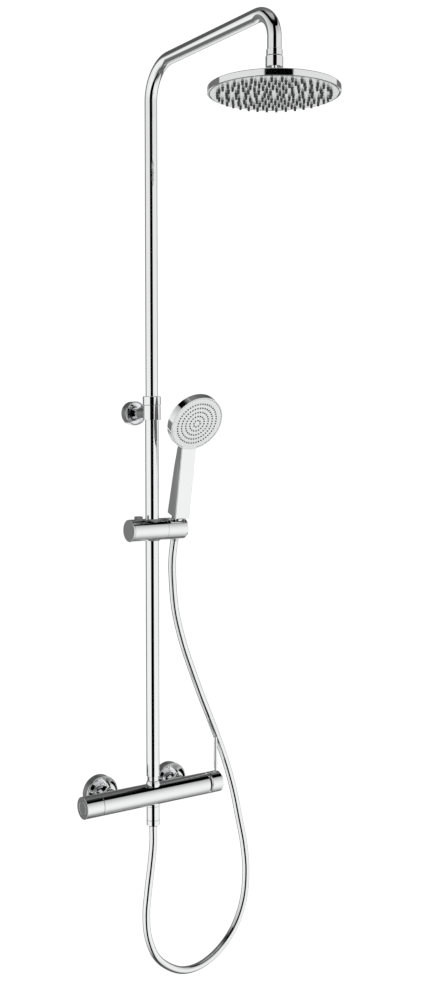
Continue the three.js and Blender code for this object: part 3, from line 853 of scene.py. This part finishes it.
def studio_world(azimuth):
    """Soft walls round the front of the column and a grey room behind it.

    A dark slot stands in front and a dark rail hangs above. Polished surfaces see all this. Matt
    ones are lit evenly, and the camera sees plain white."""
    world = bpy.data.worlds.new("studio")
    bpy.context.scene.world = world
    world.use_nodes = True
    tree = world.node_tree
    new, link = tree.nodes.new, tree.links.new

    def put(value, socket):
        if isinstance(value, (int, float)):
            socket.default_value = value
        else:
            link(value, socket)

    def calc(operation, a, b=0.0):
        node = new("ShaderNodeMath")
        node.operation = operation
        put(a, node.inputs[0])
        put(b, node.inputs[1])
        return node.outputs[0]

    def rises(value, edge, softness=1.5):
        node = new("ShaderNodeMapRange")
        node.inputs["From Min"].default_value = edge - softness
        node.inputs["From Max"].default_value = edge + softness
        put(value, node.inputs["Value"])
        return node.outputs["Result"]

    def ramp(degrees, stops):
        node = new("ShaderNodeValToRGB")
        elements = node.color_ramp.elements
        while len(elements) < len(stops):
            elements.new(0.5)
        for element, (angle, level) in zip(elements, stops):
            element.position = (angle + 90) / 180
            element.color = (level, level, level, 1)
        put(calc("DIVIDE", calc("ADD", degrees, 90), 180), node.inputs["Fac"])
        return node.outputs["Color"]

    def mix(a, b, amount):
        node = new("ShaderNodeMix")
        node.data_type = "FLOAT"
        for value, name in ((a, "A"), (b, "B"), (amount, "Factor")):
            put(value, node.inputs[name])
        return node.outputs["Result"]

    split = new("ShaderNodeSeparateXYZ")
    link(new("ShaderNodeTexCoord").outputs["Generated"], split.inputs[0])
    x, y, z = split.outputs
    sine, cosine = math.sin(azimuth), math.cos(azimuth)
    side = calc("ADD", calc("MULTIPLY", x, cosine), calc("MULTIPLY", y, -sine))
    front = calc("ADD", calc("MULTIPLY", x, -sine), calc("MULTIPLY", y, -cosine))
    around = calc("DEGREES", calc("ARCTAN2", side, front))
    above = calc("DEGREES", calc("ARCSINE", z))
    on_left = calc("SUBTRACT", 1, rises(around, ROOM_LEFT))
    behind = calc("MAXIMUM", rises(around, ROOM_RIGHT), on_left)
    in_patch = rises(calc("ABSOLUTE", around), PATCH_EDGE, PATCH_SOFTNESS)
    patch = calc("MULTIPLY", ramp(above, LOW_LIGHT), in_patch)
    rear = calc("MAXIMUM", ramp(above, REAR_LIGHT), patch)
    light = mix(ramp(above, FRONT_LIGHT), rear, behind)
    outside_slot = rises(calc("ABSOLUTE", calc("SUBTRACT", around, SLOT_MIDDLE)), SLOT_HALF)
    light = calc("MULTIPLY", light, calc("MAXIMUM", outside_slot, rises(above, SLOT_TOP)))
    path = new("ShaderNodeLightPath").outputs
    light = mix(MATT_LIGHT, light, path["Is Glossy Ray"])
    light = mix(light, PLAIN_LIGHT, path["Is Camera Ray"])
    put(light, tree.nodes["Background"].inputs["Color"])


def studio_floor():
    """A wide pale floor well below the column, out of sight of its reflections."""
    reach, height = 40, -1
    corners = [(x * reach, y * reach, height) for x, y in ((-1, -1), (1, -1), (1, 1), (-1, 1))]
    floor = place_mesh("floor", corners, [[0, 1, 2, 3]])
    nodes = Nodes("floor")
    nodes.set(Roughness=0.9)
    nodes.tint(nodes.noise(3, 2), (0.93, 0.93, 0.93), (0.95, 0.95, 0.95))
    nodes.set(Emission_Color=(1, 1, 1, 1), Emission_Strength=0.3)
    floor.data.materials.append(nodes.material)
    floor.visible_glossy = False


def camera():
    azimuth, pitch = math.radians(34.77), math.radians(3.77)
    data = bpy.data.cameras.new("camera")
    data.sensor_fit = "VERTICAL"
    data.sensor_height = 36
    data.lens = 43.71
    camera_object = bpy.data.objects.new("camera", data)
    camera_object.location = (-1.155, -1.9221, 0.682)
    camera_object.rotation_euler = (math.pi / 2 - pitch, 0, -azimuth)
    bpy.context.scene.collection.objects.link(camera_object)
    bpy.context.scene.camera = camera_object
    return azimuth


view_azimuth = camera()
smooth_pieces = smooth_turned_pieces()
hose()
mixer_body()
inlet_nuts()
lever_cap()
upper_tube()
bracket_sleeve()
ball_joint()
overhead_face()
slider()
holder()
handset()
spring = frame["nodes"]["button_spring"]
spring.data.materials.clear()
spring.data.materials.append(MATERIALS["steel"])
studio_world(view_azimuth)
studio_floor()
bpy.context.scene.view_settings.view_transform = "Standard"
